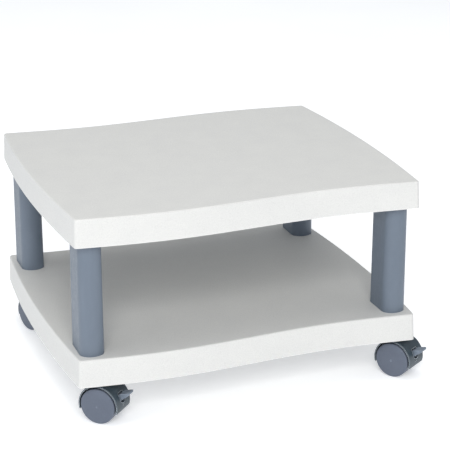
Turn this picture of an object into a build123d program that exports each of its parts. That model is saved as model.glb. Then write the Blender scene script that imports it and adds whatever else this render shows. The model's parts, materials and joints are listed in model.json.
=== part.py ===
from build123d import *
import math
import os

# ---------------------------------------------------------------- dimensions, mm, +Z up
# Shelves: a plan with waved front and back edges and bowed sides.
HALF_W = 242.1        # half width at the corners
HALF_D = 212.95       # half depth at the corners
SIDE_BOW = 10.5       # how far each side bows out at mid depth
WAVE = 7.85           # amplitude of the one-period wave of the front and back edges
DRAFT = 1.4           # each shelf's lower edge stands this much further out than its upper edge
SHELF_T = 38.5        # depth of a shelf's skirt, top face to lower edge
SKIN = 3.5            # thickness of the top panel and of the skirt
CORNER_R = 5.0        # vertical corners
EDGE_R = 2.0          # rounded upper edge
TOP_Z = 292.0         # upper face of the top shelf
LOW_Z = 96.5          # upper face of the lower shelf
RIB_T = 2.2           # stiffening ribs
RIB_GAP = 6.0         # the ribs stop this far above the skirt's lower edge

# Columns: hollow, flat sided, with bowed front and rear ends.
COL_W0, COL_L0 = 33.6, 62.0     # width and length at the lower shelf
COL_W1, COL_L1 = 32.0, 60.4     # width and length at the upper end
COL_BOW = 13.3        # depth of each bowed end
COL_WALL = 3.0
SPIGOT_H = 22.0       # moulded spigot inside a column's foot
SOCKET_WALL = 2.5     # moulded wall round a column's head
FIT = 0.1

# Column centres, x and y. They follow the waved edges.
COLUMNS = {
    "front_left": (-220.0, -175.0),
    "front_right": (220.0, -169.0),
    "rear_left": (-220.0, 166.5),
    "rear_right": (220.0, 172.5),
}
# Caster stems, x and y, and each caster's swivel angle in degrees.
CASTERS = {
    "front_left": (-219.3, -179.0, 42.0),
    "front_right": (220.0, -173.0, 54.0),
    "rear_left": (-220.5, 165.5, 67.0),
    "rear_right": (220.0, 171.5, 60.0),
}

# Casters, drawn with the stem on Z and the axle along Y.
WHEEL_R = 25.0
AXLE_X = 20.0         # trail: axle to stem
AXLE_Z = WHEEL_R
AXLE_R = 3.0
WEB_H = 6.0           # half thickness of the hood's middle web
WHEEL_IN = 6.5        # inner face of a wheel, from the caster's middle plane
WHEEL_OUT = 22.4      # crown of a wheel's outer face
HOOD_R = 29.0
HOOD_IN_R = 27.2
HOOD_H = 19.7         # half width of the hood
HOOD_CUT = -7.8       # the hood ends this far below the axle
RUN = 0.06            # radial running clearance
TURRET_R, TURRET_TOP = 8.5, 54.3
STEM_R0, STEM_R1 = 4.0, 5.5     # lower and upper stem
STEM_BOT, COLLAR_BOT, COLLAR_TOP, STEM_TOP = 28.0, 54.7, 56.4, 90.0
COLLAR_R = 8.5
FLANGE_R, SLEEVE_R, SLEEVE_BORE = 11.0, 7.5, 5.6
BOSS_R = 10.5
PIN_X, PIN_Z, PIN_R = 19.6, 8.8, 1.5   # brake pin, from the axle
PEDAL_H = 7.6         # half width of the brake lever's pedal
NECK_H = 6.3          # half width of its neck, in the hood's slot
SLOT_H = 7.3

# The origin is the middle of the whole stand's box, on the floor.
SHIFT = (-5.21, 1.95, 0.0)

os.makedirs("parts", exist_ok=True)
root = Pos(*SHIFT)


def save(shape, name):
    export_step(root * shape, "parts/" + name + ".step")


# ---------------------------------------------------------------- shelves
def outline(z, grow=0.0):
    """A shelf's plan as a face at height z, grown by grow on every side."""
    a, d = HALF_W + grow, HALF_D + grow
    n = 14

    def wave(x):
        return WAVE * math.sin(math.pi * x / a)

    def bow(y):
        return SIDE_BOW * (1 - (y / d) ** 2)

    xs = [-a + 2 * a * i / n for i in range(n + 1)]
    ys = [-d + 2 * d * i / 8 for i in range(9)]
    front = Spline([(x, -d + wave(x), z) for x in xs])
    right = Spline([(a + bow(y), y, z) for y in ys])
    back = Spline([(x, d + wave(x), z) for x in reversed(xs)])
    left = Spline([(-a - bow(y), y, z) for y in reversed(ys)])
    return Face(Wire([front, right, back, left]))


def tray(top, extra_z=0.0):
    """The moulded panel with its skirt, open below."""
    low = top - SHELF_T
    body = Solid.make_loft([outline(low, DRAFT).outer_wire(), outline(top).outer_wire()], True)
    corners = [e for e in body.edges() if abs(e.center().Z - (top + low) / 2) < 1 and e.length < SHELF_T * 1.2]
    body = fillet(corners, CORNER_R)
    rim = [e for e in body.edges() if abs(e.center().Z - top) < 0.01]
    body = fillet(rim, EDGE_R)
    hollow = Solid.make_loft(
        [outline(low - 1, DRAFT - SKIN).outer_wire(), outline(top - SKIN, -SKIN).outer_wire()], True
    )
    return body - hollow, hollow


def ribs(top, hollow):
    """Crossed ribs under the panel, trimmed to the inside of the skirt."""
    z0, z1 = top - SHELF_T + RIB_GAP, top - SKIN + 0.5
    h, zc = z1 - z0, (z0 + z1) / 2
    grid = []
    for x in (-165.0, -82.5, 0.0, 82.5, 165.0):
        grid.append(Pos(x, 0, zc) * Box(RIB_T, 2 * HALF_D + 20, h))
    for y in (-130.0, -65.0, 0.0, 65.0, 130.0):
        grid.append(Pos(0, y, zc) * Box(2 * HALF_W + 30, RIB_T, h))
    # short webs tie each corner's socket or boss to the skirt and the nearest ribs
    for cx, cy in COLUMNS.values():
        sx, sy = math.copysign(1, cx), math.copysign(1, cy)
        grid.append(Pos(sx * 210, cy, zc) * Box(90, RIB_T, h))
        grid.append(Pos(cx, sy * 177, zc) * Box(RIB_T, 94, h))
    block = grid[0]
    for g in grid[1:]:
        block = block + g
    inside = Solid.make_loft(
        [outline(top - SHELF_T - 1, DRAFT - SKIN + 0.5).outer_wire(), outline(top - SKIN + 1, -SKIN + 0.5).outer_wire()],
        True,
    )
    return block & inside


# ---------------------------------------------------------------- columns
def oblong(cx, cy, z, w, length):
    """A column's section: straight sides along Y and half-ellipse ends."""
    bow = COL_BOW * (w / COL_W0)
    hy = length / 2 - bow
    hx = w / 2
    e1 = EllipticalCenterArc((cx, cy - hy, z), hx, bow, 180, arc_size=180)
    l1 = Line((cx + hx, cy - hy, z), (cx + hx, cy + hy, z))
    e2 = EllipticalCenterArc((cx, cy + hy, z), hx, bow, 0, arc_size=180)
    l2 = Line((cx - hx, cy + hy, z), (cx - hx, cy - hy, z))
    return Face(Wire([e1, l1, e2, l2]))


def prism(cx, cy, z0, z1, w, length):
    return extrude(oblong(cx, cy, z0, w, length), amount=z1 - z0, dir=(0, 0, 1))


def tapered(cx, cy, z0, z1, grow):
    def size(z):
        t = (z - LOW_Z) / (TOP_Z - SKIN - LOW_Z)
        return COL_W0 + (COL_W1 - COL_W0) * t + grow, COL_L0 + (COL_L1 - COL_L0) * t + grow

    return Solid.make_loft(
        [oblong(cx, cy, z0, *size(z0)).outer_wire(), oblong(cx, cy, z1, *size(z1)).outer_wire()], True
    )


top_shelf, top_hollow = tray(TOP_Z)
lower_shelf, low_hollow = tray(LOW_Z)
top_ribs = ribs(TOP_Z, top_hollow)
low_ribs = ribs(LOW_Z, low_hollow)

under = TOP_Z - SKIN
for name, (cx, cy) in COLUMNS.items():
    # socket wall round the column's head, and a clear seat for the column inside it
    seat_w, seat_l = COL_W1 + 2 * FIT + 0.4, COL_L1 + 2 * FIT + 0.4
    wall_w, wall_l = seat_w + 2 * SOCKET_WALL, seat_l + 2 * SOCKET_WALL
    top_ribs = top_ribs - prism(cx, cy, TOP_Z - SHELF_T - 1, under, seat_w + 1, seat_l + 1)
    top_shelf = top_shelf + (
        prism(cx, cy, TOP_Z - SHELF_T + 1.0, under + 0.5, wall_w, wall_l)
        - prism(cx, cy, TOP_Z - SHELF_T, under, seat_w, seat_l)
    )
    # spigot for the column's foot
    sp_w, sp_l = COL_W0 - 2 * COL_WALL - 2 * FIT - 0.3, COL_L0 - 2 * COL_WALL - 2 * FIT - 0.3
    lower_shelf = lower_shelf + (
        prism(cx, cy, LOW_Z - 0.5, LOW_Z + SPIGOT_H, sp_w, sp_l)
        - prism(cx, cy, LOW_Z + 3, LOW_Z + SPIGOT_H + 1, sp_w - 5, sp_l - 5)
    )
low = LOW_Z - SHELF_T
for cx, cy, phi in CASTERS.values():
    # boss that holds the caster's socket
    lower_shelf = lower_shelf + Pos(cx, cy, (low + LOW_Z - 1) / 2) * Cylinder(BOSS_R, LOW_Z - 1 - low)
top_shelf = top_shelf + top_ribs
lower_shelf = lower_shelf + low_ribs
for cx, cy, phi in CASTERS.values():
    lower_shelf = lower_shelf - Pos(cx, cy, (low + 92.5) / 2) * Cylinder(SLEEVE_R, 92.5 - low)
save(top_shelf, "top_shelf")
save(lower_shelf, "lower_shelf")

for name, (cx, cy) in COLUMNS.items():
    tube = tapered(cx, cy, LOW_Z, under, 0.0) - tapered(cx, cy, LOW_Z - 1, under + 1, -2 * COL_WALL)
    save(tube, "column_" + name)


# ---------------------------------------------------------------- casters
def ycyl(r, y0, y1, x=AXLE_X, z=AXLE_Z):
    return Pos(x, (y0 + y1) / 2, z) * Rot(90, 0, 0) * Cylinder(r, y1 - y0)


def zcyl(r, z0, z1, x=0.0, y=0.0):
    return Pos(x, y, (z0 + z1) / 2) * Cylinder(r, z1 - z0)


def slab(points, y):
    """A plate with the given outline, x and z from the axle, from -y to +y."""
    pts = [(AXLE_X + px, AXLE_Z + pz) for px, pz in points]
    face = Face(Wire.make_polygon([(px, 0, pz) for px, pz in pts], close=True))
    return extrude(face, amount=y, dir=(0, 1, 0), both=True)


def polar(r, deg):
    return (r * math.cos(math.radians(deg)), r * math.sin(math.radians(deg)))


def make_hood(brake):
    drum = ycyl(HOOD_R, -HOOD_H, HOOD_H)
    drum = fillet(drum.edges().filter_by(GeomType.CIRCLE), 0.8)
    drum = drum + zcyl(TURRET_R, 40, TURRET_TOP)
    for s in (1, -1):
        y0, y1 = sorted((s * WEB_H, s * (HOOD_H + 5)))
        drum = drum - ycyl(HOOD_IN_R, y0, y1)
    drum = drum - Pos(AXLE_X, 0, AXLE_Z + HOOD_CUT - 20) * Box(80, 60, 40)
    # axle bore and the stem's bore with its retaining lip
    drum = drum - ycyl(AXLE_R, -WEB_H - 1, WEB_H + 1)
    drum = drum - (zcyl(STEM_R0 + RUN, STEM_BOT - 0.5, TURRET_TOP + 1) - (zcyl(6, 33.3, 34.7) - zcyl(3.46, 33, 35)))
    if brake:
        pocket = slab([(14.6, 4.0), (21.5, 3.2), (40, 2.0), (40, 22.0), (21.0, 16.0), (15.0, 13.2)], 3.9)
        slot = slab([polar(24.9, 9.5), polar(45, 9.5), polar(45, 36), polar(24.9, 36), polar(24.9, 27), polar(24.9, 18)], SLOT_H)
        slot = slot - ycyl(24.9, -10, 10)
        slot = fillet(slot.edges().filter_by(lambda e: e.length > 15 and abs(e.tangent_at(0.5).Y) < 0.1), 2.8)
        drum = drum - pocket - slot
        drum = drum - ycyl(PIN_R, -WEB_H - 1, WEB_H + 1, AXLE_X + PIN_X, AXLE_Z + PIN_Z)
        hole = Pos(AXLE_X + 27, -1.5, AXLE_Z + 0.8) * Rot(0, 90, 0) * Cylinder(1.7, 8)
        drum = drum - hole
    return drum


def make_wheel():
    """The outer wheel's profile, radius along X and the axle along Y, on the +Y side."""
    w, out = WHEEL_IN, WHEEL_OUT
    prof = [
        Line((AXLE_R + RUN, w), (7.0, w)),
        Line((7.0, w), (7.0, 17.6)),
        Line((7.0, 17.6), (21.6, 17.6)),
        Line((21.6, 17.6), (21.6, w)),
        Line((21.6, w), (24.4, w)),
        Line((24.4, w), (WHEEL_R, w + 0.6)),
        Line((WHEEL_R, w + 0.6), (WHEEL_R, out - 2.6)),
        ThreePointArc((WHEEL_R, out - 2.6), (24.62, out - 1.6), (23.7, out - 1.1)),
        ThreePointArc((23.7, out - 1.1), (12.0, out - 0.28), (1.4, out)),
        Line((1.4, out), (1.1, out - 0.4)),
        Line((1.1, out - 0.4), (0, out - 0.4)),
        Line((0, out - 0.4), (0, 17.4)),
        Line((0, 17.4), (AXLE_R + RUN, 17.4)),
        Line((AXLE_R + RUN, 17.4), (AXLE_R + RUN, 14.0)),
        Line((AXLE_R + RUN, 14.0), (2.66, 14.0)),
        Line((2.66, 14.0), (2.66, 13.0)),
        Line((2.66, 13.0), (AXLE_R + RUN, 13.0)),
        Line((AXLE_R + RUN, 13.0), (AXLE_R + RUN, w)),
    ]
    solid = revolve(Face(Wire(prof)), axis=Axis.Y)
    return Pos(AXLE_X, 0, AXLE_Z) * solid


def make_axle():
    rod = ycyl(AXLE_R, -17.0, 17.0)
    rod = chamfer(rod.edges().filter_by(GeomType.CIRCLE), 0.5)
    for s in (1, -1):
        y0, y1 = sorted((s * 12.7, s * 14.3))
        rod = rod - (ycyl(4, y0, y1) - ycyl(2.6, y0, y1))
    return rod


def make_stem():
    pin = zcyl(STEM_R0, STEM_BOT, COLLAR_BOT + 1)
    pin = chamfer(pin.edges().filter_by(GeomType.CIRCLE).sort_by(Axis.Z)[0], 0.8)
    pin = pin - (zcyl(6, 33.0, 35.0) - zcyl(3.4, 33.0, 35.0))
    pin = pin + zcyl(COLLAR_R, COLLAR_BOT, COLLAR_TOP) + zcyl(STEM_R1, COLLAR_TOP - 1, STEM_TOP - 1.2)
    pin = pin + Pos(0, 0, STEM_TOP - 0.6) * Cone(STEM_R1, STEM_R1 - 1.2, 1.2)
    pin = pin - (zcyl(7, 82.0, 84.4) - zcyl(4.3, 82.0, 84.4))
    return pin


def make_ring():
    """A split spring ring in the stem's groove."""
    ring = zcyl(SLEEVE_BORE, 82.2, 84.2) - zcyl(4.3, 82.0, 84.4)
    return ring - Pos(6, 0, 83.2) * Box(8, 1.6, 4)


def make_socket():
    cup = zcyl(SLEEVE_R, COLLAR_TOP, 92.5) + zcyl(FLANGE_R, COLLAR_TOP, LOW_Z - SHELF_T)
    return cup - zcyl(SLEEVE_BORE, COLLAR_TOP - 1, 91.0)


def make_lever():
    """A wedge-shaped pedal outside the hood, on a neck that reaches in to the pin."""

    def at(p):
        return (AXLE_X + p[0], 0, AXLE_Z + p[1])

    under0, under1, under2 = (30.9, 10.9), (33.2, 11.5), (38.9, 16.1)
    tip0, tip1, tip2 = (39.9, 17.2), (40.3, 19.0), (38.7, 20.0)
    top = (27.6, 17.4)
    inner = (28.4, 13.6)
    edges = [
        Line(at(under0), at(under1)),
        Line(at(under1), at(under2)),
        ThreePointArc(at(under2), at(tip0), at(tip1)),
        ThreePointArc(at(tip1), at((39.7, 19.9)), at(tip2)),
        Line(at(tip2), at(top)),
        Line(at(top), at(inner)),
        ThreePointArc(at(inner), at((29.1, 11.5)), at(under0)),
    ]
    pedal = extrude(Face(Wire(edges)), amount=PEDAL_H, dir=(0, 1, 0), both=True)
    # the pedal's outer corners are rounded in plan
    x0, x1, h, r = AXLE_X + 20, AXLE_X + 41.5, PEDAL_H, 4.0
    plan = Face(
        Wire(
            [
                Line((x0, -h, 0), (x1 - r, -h, 0)),
                ThreePointArc((x1 - r, -h, 0), (x1 - 0.2929 * r, -h + 0.2929 * r, 0), (x1, -h + r, 0)),
                Line((x1, -h + r, 0), (x1, h - r, 0)),
                ThreePointArc((x1, h - r, 0), (x1 - 0.2929 * r, h - 0.2929 * r, 0), (x1 - r, h, 0)),
                Line((x1 - r, h, 0), (x0, h, 0)),
                Line((x0, h, 0), (x0, -h, 0)),
            ]
        )
    )
    pedal = pedal & extrude(plan, amount=80, dir=(0, 0, 1))
    neck = slab([polar(26.9, 14), polar(30.6, 15.5), (30.6, 11.4), (29.5, 16.6), (27.0, 16.9), polar(26.9, 31)], NECK_H)
    boss = ycyl(3.3, -3.4, 3.4, AXLE_X + PIN_X, AXLE_Z + PIN_Z)
    arm = slab([(PIN_X + 1.0, PIN_Z - 3.1), (27.2, 7.4), (25.0, 13.6), (PIN_X - 1.2, PIN_Z + 3.0)], 3.4)
    lever = pedal + neck + boss + arm
    return lever - ycyl(PIN_R + RUN, -5, 5, AXLE_X + PIN_X, AXLE_Z + PIN_Z)


hood_plain = make_hood(False)
hood_brake = make_hood(True)
wheel_far = make_wheel()
wheel_near = mirror(wheel_far, about=Plane.XZ)
axle = make_axle()
stem = make_stem()
socket = make_socket()
lever = make_lever()
lever_pin = ycyl(PIN_R, -5.8, 5.8, AXLE_X + PIN_X, AXLE_Z + PIN_Z)

rings = []
for name, (cx, cy, phi) in CASTERS.items():
    place = Pos(cx, cy, 0) * Rot(0, 0, -phi)
    brake = name.startswith("front")
    save(place * (hood_brake if brake else hood_plain), "hood_" + name)
    save(place * wheel_near, "wheel_outer_" + name)
    save(place * wheel_far, "wheel_inner_" + name)
    save(place * axle, "axle_" + name)
    save(place * stem, "stem_" + name)
    save(place * socket, "socket_" + name)
    if brake:
        save(place * lever, "brake_lever_" + name)
        save(place * lever_pin, "brake_pin_" + name)
    rings.append(root * place * make_ring())
export_step(Compound(children=rings), "parts/grip_rings.step")
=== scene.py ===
import json
import math

import bpy
from mathutils import Matrix, Vector


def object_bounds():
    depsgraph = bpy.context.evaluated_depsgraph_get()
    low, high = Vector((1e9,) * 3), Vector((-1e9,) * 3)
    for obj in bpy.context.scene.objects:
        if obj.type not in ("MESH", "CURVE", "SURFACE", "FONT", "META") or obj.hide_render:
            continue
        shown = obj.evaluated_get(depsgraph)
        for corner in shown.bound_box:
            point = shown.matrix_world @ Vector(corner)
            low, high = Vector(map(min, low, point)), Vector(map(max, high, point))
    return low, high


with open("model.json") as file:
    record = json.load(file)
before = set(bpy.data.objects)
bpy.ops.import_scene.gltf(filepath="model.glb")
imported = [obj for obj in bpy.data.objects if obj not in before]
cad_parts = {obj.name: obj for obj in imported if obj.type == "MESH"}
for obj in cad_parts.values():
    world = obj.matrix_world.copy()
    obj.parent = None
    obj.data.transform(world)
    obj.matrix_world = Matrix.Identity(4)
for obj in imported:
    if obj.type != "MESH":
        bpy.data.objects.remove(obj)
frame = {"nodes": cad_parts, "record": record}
NODES = frame["nodes"]


def plain(b):
    return [[round(float(v), 6) for v in corner] for corner in b]


CAD_BOX = plain(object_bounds())
LO, HI = (Vector(c) for c in CAD_BOX)
MID = (LO + HI) / 2


# ---------------------------------------------------------------- materials

def srgb(r, g, b):
    """An 8-bit sRGB colour as the linear colour a shader takes."""
    def lin(v):
        v /= 255.0
        return v / 12.92 if v <= 0.04045 else ((v + 0.055) / 1.055) ** 2.4
    return (lin(r), lin(g), lin(b), 1.0)


class Graph:
    """Small helper for building one material's node tree."""

    def __init__(self, name):
        self.mat = bpy.data.materials.new(name)
        self.mat.use_nodes = True
        self.tree = self.mat.node_tree
        self.tree.nodes.clear()
        self.out = self.node("ShaderNodeOutputMaterial")
        self.bsdf = self.node("ShaderNodeBsdfPrincipled")
        self.link(self.bsdf.outputs["BSDF"], self.out.inputs["Surface"])
        self.coord = self.node("ShaderNodeTexCoord").outputs["Object"]
        self.height = None

    def node(self, kind, **settings):
        n = self.tree.nodes.new(kind)
        for k, v in settings.items():
            setattr(n, k, v)
        return n

    def link(self, a, b):
        self.tree.links.new(a, b)

    def stretched(self, scale=(1, 1, 1), move=(0, 0, 0)):
        m = self.node("ShaderNodeMapping")
        m.inputs["Scale"].default_value = scale
        m.inputs["Location"].default_value = move
        self.link(self.coord, m.inputs["Vector"])
        return m.outputs["Vector"]

    def noise(self, scale, detail=2.0, rough=0.5, vector=None, distortion=0.0):
        n = self.node("ShaderNodeTexNoise")
        n.inputs["Scale"].default_value = scale
        n.inputs["Detail"].default_value = detail
        n.inputs["Roughness"].default_value = rough
        n.inputs["Distortion"].default_value = distortion
        self.link(vector or self.coord, n.inputs["Vector"])
        return n.outputs["Fac"]

    def voronoi(self, scale, feature="F1", vector=None, randomness=1.0):
        n = self.node("ShaderNodeTexVoronoi", feature=feature)
        n.inputs["Scale"].default_value = scale
        n.inputs["Randomness"].default_value = randomness
        self.link(vector or self.coord, n.inputs["Vector"])
        return n.outputs["Distance"]

    def ramp(self, fac, stops):
        n = self.node("ShaderNodeValToRGB")
        e = n.color_ramp.elements
        while len(e) < len(stops):
            e.new(0.5)
        for item, (p, c) in zip(e, stops):
            item.position = p
            item.color = c if hasattr(c, "__len__") else (c, c, c, 1)
        self.link(fac, n.inputs["Fac"])
        return n.outputs["Color"]

    def span(self, fac, low, high, a=0.0, b=1.0):
        n = self.node("ShaderNodeMapRange")
        n.clamp = True
        n.inputs["From Min"].default_value = a
        n.inputs["From Max"].default_value = b
        n.inputs["To Min"].default_value = low
        n.inputs["To Max"].default_value = high
        self.link(fac, n.inputs["Value"])
        return n.outputs["Result"]

    def math(self, kind, a, b=None):
        n = self.node("ShaderNodeMath", operation=kind)
        for i, v in enumerate((a, b)):
            if v is None:
                continue
            if hasattr(v, "is_linked") or hasattr(v, "links"):
                self.link(v, n.inputs[i])
            else:
                n.inputs[i].default_value = v
        return n.outputs[0]

    def mix(self, fac, a, b, kind="MIX"):
        n = self.node("ShaderNodeMix", data_type="RGBA", blend_type=kind)
        for socket, v in ((n.inputs[0], fac), (n.inputs[6], a), (n.inputs[7], b)):
            if hasattr(v, "links"):
                self.link(v, socket)
            else:
                socket.default_value = v
        return n.outputs[2]

    def edges(self, radius=0.0012, low=0.01, high=0.22):
        """0 on flats, up to 1 where the surface turns within radius of the point."""
        rounded = self.node("ShaderNodeBevel", samples=4)
        rounded.inputs["Radius"].default_value = radius
        dot = self.node("ShaderNodeVectorMath", operation="DOT_PRODUCT")
        self.link(rounded.outputs["Normal"], dot.inputs[0])
        self.link(self.node("ShaderNodeNewGeometry").outputs["Normal"], dot.inputs[1])
        return self.span(self.math("SUBTRACT", 1.0, dot.outputs["Value"]), 0.0, 1.0, low, high)

    def bump(self, height, strength, distance):
        n = self.node("ShaderNodeBump")
        n.inputs["Strength"].default_value = strength
        n.inputs["Distance"].default_value = distance
        self.link(height, n.inputs["Height"])
        if self.height is not None:
            self.link(self.height, n.inputs["Normal"])
        self.height = n.outputs["Normal"]
        self.link(self.height, self.bsdf.inputs["Normal"])

    def set(self, name, value):
        self.bsdf.inputs[name].default_value = value

    def colour(self, c):
        self.link(c, self.bsdf.inputs["Base Color"])

    def roughness(self, r):
        self.link(r, self.bsdf.inputs["Roughness"])


def shelf_plastic():
    """Structural-foam moulding in warm near-white: pebbled skin, faint flow swirls, slightly soiled, with paler
    scuffed edges that also carry a painted edge highlight.
    """
    g = Graph("shelf_plastic_look")
    swirl = g.noise(7.0, 4.0, 0.62, g.stretched((1.0, 1.7, 1.0)), 1.3)
    cloud = g.noise(31.0, 3.0, 0.55)
    speck = g.noise(900.0, 2.0, 0.6)
    base = g.ramp(swirl, [(0.30, srgb(211, 211, 210)), (0.55, srgb(214, 214, 212)), (0.78, srgb(216, 216, 214))])
    soil = g.ramp(cloud, [(0.35, srgb(210, 210, 209)), (0.62, srgb(217, 217, 215))])
    c = g.mix(0.45, base, soil)
    dots = g.ramp(speck, [(0.34, srgb(198, 198, 197)), (0.50, srgb(214, 214, 213)), (0.68, srgb(223, 223, 221))])
    c = g.mix(0.42, c, dots)
    # paler edges: partly rubbed wear, partly a painted highlight along the shelf edges
    edge_paling = g.math("MULTIPLY", g.edges(0.0025), g.span(g.noise(60.0, 3.0), 0.6, 1.0, 0.35, 0.65))
    c = g.mix(edge_paling, c, srgb(240, 240, 239))
    g.colour(c)
    r = g.math("ADD", g.span(g.noise(260.0, 3.0, 0.6), 0.44, 0.62, 0.3, 0.7), g.span(cloud, -0.04, 0.04, 0.3, 0.7))
    g.roughness(r)
    g.set("Specular IOR Level", 0.42)
    g.bump(g.noise(5.5, 2.0), 0.10, 0.0012)
    g.bump(g.voronoi(520.0, "SMOOTH_F1"), 0.5, 0.00026)
    g.bump(g.noise(1500.0, 2.0, 0.55), 0.22, 0.00012)
    return g.mat


def satin_plastic(name, dark, mid, light, edge, rough, grain=1400.0, scale=1.0, streak=(1, 1, 1), spec=0.45,
                  rim=0.0010, edge_paling=0.25):
    """Injection-moulded satin plastic: fine spark-eroded skin, faint flow marks and paler edges, partly rubbed wear
    and partly a painted edge highlight.
    """
    g = Graph(name)
    flow = g.noise(38.0 * scale, 3.0, 0.6, g.stretched(streak), 0.6)
    haze = g.noise(150.0 * scale, 3.0, 0.55)
    c = g.ramp(flow, [(0.30, dark), (0.52, mid), (0.75, light)])
    c = g.mix(g.span(haze, 0.0, 0.22, 0.4, 0.8), c, light)
    speck = g.noise(1900.0, 1.0)
    c = g.mix(g.span(speck, 0.0, 0.16, 0.55, 0.75), c, light)
    # paler edges: rubbed wear, and where the edge colour is near-white (the hood) a painted rim highlight
    rub_and_highlight = g.math("MULTIPLY", g.edges(rim, 0.01, 0.16), g.span(g.noise(140.0 * scale, 3.0, 0.7), edge_paling, 1.0, 0.35, 0.66))
    c = g.mix(rub_and_highlight, c, edge)
    g.colour(c)
    scuff = g.noise(90.0 * scale, 4.0, 0.7, g.stretched((1.0, 3.0, 1.0)))
    r = g.math("ADD", g.span(g.noise(420.0, 2.0), rough - 0.05, rough + 0.05, 0.3, 0.7), g.span(scuff, -0.05, 0.07, 0.35, 0.7))
    g.roughness(r)
    g.set("Specular IOR Level", spec)
    g.bump(g.noise(24.0 * scale, 2.0), 0.10, 0.0006)
    g.bump(g.noise(grain, 3.0, 0.6), 0.22, 0.00010)
    return g.mat


def wheel_plastic():
    """The wheels' moulded discs: satin grey with faint turned rings, small scuffs and a painted highlight along the
    disc rims.
    """
    g = Graph("wheel_plastic_look")
    dark, mid, light = srgb(88, 96, 111), srgb(91, 99, 114), srgb(95, 103, 118)
    flow = g.noise(46.0, 3.0, 0.6, None, 0.8)
    c = g.ramp(flow, [(0.30, dark), (0.52, mid), (0.76, light)])
    haze = g.noise(210.0, 4.0, 0.65)
    c = g.mix(g.span(haze, 0.0, 0.3, 0.42, 0.8), c, srgb(98, 104, 118))
    dust = g.span(g.noise(620.0, 2.0), 0.0, 0.22, 0.52, 0.75)
    c = g.mix(dust, c, srgb(108, 114, 128))
    # paler disc rims: small scuffs plus a painted rim highlight
    rub_and_highlight = g.math("MULTIPLY", g.edges(0.0014, 0.01, 0.18), g.span(g.noise(160.0, 3.0, 0.7), 0.2, 0.85, 0.35, 0.66))
    c = g.mix(rub_and_highlight, c, srgb(160, 167, 182))
    g.colour(c)
    r = g.math("ADD", g.span(g.noise(380.0, 2.0), 0.44, 0.54, 0.3, 0.7), g.span(haze, -0.05, 0.08, 0.35, 0.7))
    g.roughness(r)
    g.set("Specular IOR Level", 0.42)
    g.bump(g.noise(30.0, 2.0), 0.10, 0.0005)
    g.bump(g.noise(1500.0, 3.0, 0.6), 0.24, 0.00010)
    return g.mat


def plated_steel():
    """Zinc-plated turned steel: fine machining lines, cloudy plating and a faint blue passivation."""
    g = Graph("plated_steel_look")
    cloud = g.noise(240.0, 4.0, 0.6, None, 0.8)
    c = g.ramp(cloud, [(0.30, srgb(150, 153, 158)), (0.52, srgb(176, 179, 184)), (0.75, srgb(199, 201, 204))])
    tint = g.noise(90.0, 2.0)
    c = g.mix(g.span(tint, 0.0, 0.35, 0.45, 0.7), c, srgb(168, 176, 190))
    lines = g.noise(900.0, 2.0, 0.5, g.stretched((0.4, 0.4, 7.0)))
    edge_paling = g.edges(0.0006)
    c = g.mix(edge_paling, c, srgb(222, 223, 224))
    g.colour(c)
    g.roughness(g.math("ADD", g.span(lines, 0.24, 0.38, 0.3, 0.7), g.span(cloud, -0.03, 0.07, 0.3, 0.7)))
    g.set("Metallic", 1.0)
    g.bump(lines, 0.16, 0.00004)
    return g.mat


def spring_steel():
    """Bare spring steel rings: darker, with drawn grain and small oily stains."""
    g = Graph("spring_steel_look")
    stain = g.noise(300.0, 4.0, 0.65, None, 1.0)
    c = g.ramp(stain, [(0.28, srgb(104, 102, 100)), (0.50, srgb(140, 140, 141)), (0.75, srgb(168, 169, 171))])
    c = g.mix(g.edges(0.0004), c, srgb(205, 206, 208))
    g.colour(c)
    grain = g.noise(1100.0, 2.0, 0.5, g.stretched((1.0, 1.0, 5.0)))
    g.roughness(g.math("ADD", g.span(grain, 0.28, 0.44, 0.3, 0.7), g.span(stain, 0.08, -0.04, 0.3, 0.7)))
    g.set("Metallic", 1.0)
    g.bump(grain, 0.18, 0.00004)
    return g.mat


MATERIALS = {
    "shelf_plastic": shelf_plastic(),
    "column_plastic": satin_plastic("column_plastic_look", srgb(101, 112, 126), srgb(104, 115, 129), srgb(108, 119, 133),
                                    srgb(140, 150, 164), 0.46, streak=(1.0, 1.0, 0.35)),
    # the hood's near-white edge colour is a painted rim highlight, not wear
    "hood_plastic": satin_plastic("hood_plastic_look", srgb(52, 64, 73), srgb(55, 68, 77), srgb(60, 73, 83),
                                  srgb(204, 211, 219), 0.40, scale=2.0, rim=0.0014, edge_paling=0.8),
    "wheel_plastic": wheel_plastic(),
    "lever_plastic": satin_plastic("lever_plastic_look", srgb(104, 114, 127), srgb(113, 124, 138), srgb(124, 135, 149),
                                   srgb(160, 168, 180), 0.44, scale=2.5),
    "socket_plastic": satin_plastic("socket_plastic_look", srgb(48, 51, 55), srgb(55, 58, 63), srgb(64, 68, 73),
                                    srgb(98, 102, 108), 0.48, scale=2.0),
    "plated_steel": plated_steel(),
    "spring_steel": spring_steel(),
}

slot_of = {p["node"]: p["material_slot"] for p in frame["record"]["subparts"]}
for name, obj in NODES.items():
    look = MATERIALS[slot_of[name]]
    if not obj.material_slots:
        obj.data.materials.append(look)
    for s in obj.material_slots:
        s.material = look

# ---------------------------------------------------------------- floor

scene = bpy.context.scene
scene.view_settings.view_transform = "Standard"


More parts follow.
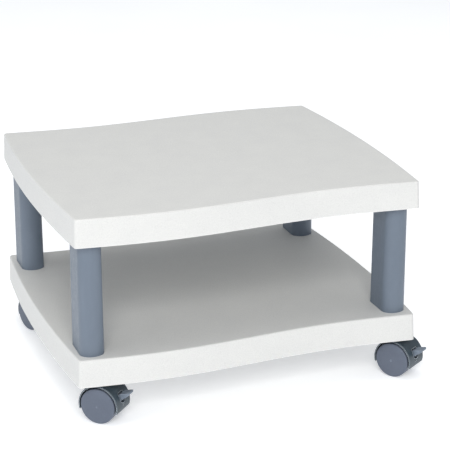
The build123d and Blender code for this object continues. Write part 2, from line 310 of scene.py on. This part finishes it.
def studio_floor():
    """A seamless pale sweep: flat under the stand, far larger than the view."""
    mesh = bpy.data.meshes.new("studio_floor")
    half, rings = 14.0, 28
    verts, faces = [], []
    for i in range(rings + 1):
        for j in range(rings + 1):
            x = -half + 2 * half * i / rings
            y = -half + 2 * half * j / rings
            verts.append((x, y, LO.z - 0.0002))
    n = rings + 1
    for i in range(rings):
        for j in range(rings):
            faces.append((i * n + j, (i + 1) * n + j, (i + 1) * n + j + 1, i * n + j + 1))
    mesh.from_pydata(verts, [], faces)
    obj = bpy.data.objects.new("studio_floor", mesh)
    scene.collection.objects.link(obj)
    g = Graph("studio_floor_look")
    c = g.ramp(g.noise(3.0, 3.0), [(0.3, srgb(244, 245, 247)), (0.7, srgb(248, 249, 250))])
    g.colour(c)
    g.set("Roughness", 0.9)
    g.set("Specular IOR Level", 0.1)
    g.set("Emission Color", (0.97, 0.98, 1.0, 1.0))
    g.set("Emission Strength", 0.38)
    # clear from below, so that the stand's underside can be looked at through the floor
    clear = g.node("ShaderNodeBsdfTransparent")
    both = g.node("ShaderNodeMixShader")
    g.link(g.node("ShaderNodeNewGeometry").outputs["Backfacing"], both.inputs[0])
    g.link(g.bsdf.outputs["BSDF"], both.inputs[1])
    g.link(clear.outputs["BSDF"], both.inputs[2])
    g.link(both.outputs["Shader"], g.out.inputs["Surface"])
    mesh.materials.append(g.mat)
    return obj


studio_floor()

# ---------------------------------------------------------------- light

world = bpy.data.worlds.new("studio")
scene.world = world
world.use_nodes = True
background = world.node_tree.nodes["Background"]
background.inputs["Color"].default_value = (0.935, 0.968, 1.0, 1.0)
background.inputs["Strength"].default_value = 0.47


def softbox(name, place, target, size, power, colour=(1, 1, 1)):
    data = bpy.data.lights.new(name, "AREA")
    data.shape = "RECTANGLE"
    data.size, data.size_y = size
    data.energy = power
    data.color = colour
    lamp = bpy.data.objects.new(name, data)
    scene.collection.objects.link(lamp)
    lamp.location = place
    aim = Vector(target) - Vector(place)
    lamp.rotation_euler = aim.to_track_quat("-Z", "Y").to_euler()
    return lamp


softbox("front_key", (-1.0, -3.0, 2.3), MID, (1.7, 1.5), 73.0, (1.0, 0.988, 0.962))
softbox("left_fill", (-3.2, -0.7, 0.9), MID, (2.0, 1.8), 10.0, (0.93, 0.96, 1.0))
softbox("top_soft", (-0.2, 0.3, 3.4), MID, (2.2, 2.2), 35.0, (1.0, 0.98, 0.94))

# ---------------------------------------------------------------- camera

YAW, PITCH = math.radians(19.54), math.radians(19.25)
camera_data = bpy.data.cameras.new("camera")
camera_data.sensor_width = 36.0
camera_data.lens = 128.46
camera_data.clip_end = 60.0
camera = bpy.data.objects.new("camera", camera_data)
scene.collection.objects.link(camera)
forward = Vector((math.sin(YAW) * math.cos(PITCH), math.cos(YAW) * math.cos(PITCH), -math.sin(PITCH)))
camera.location = MID + Vector((-0.7116, -2.0888, 0.8118))
camera.rotation_euler = forward.to_track_quat("-Z", "Y").to_euler()
scene.camera = camera
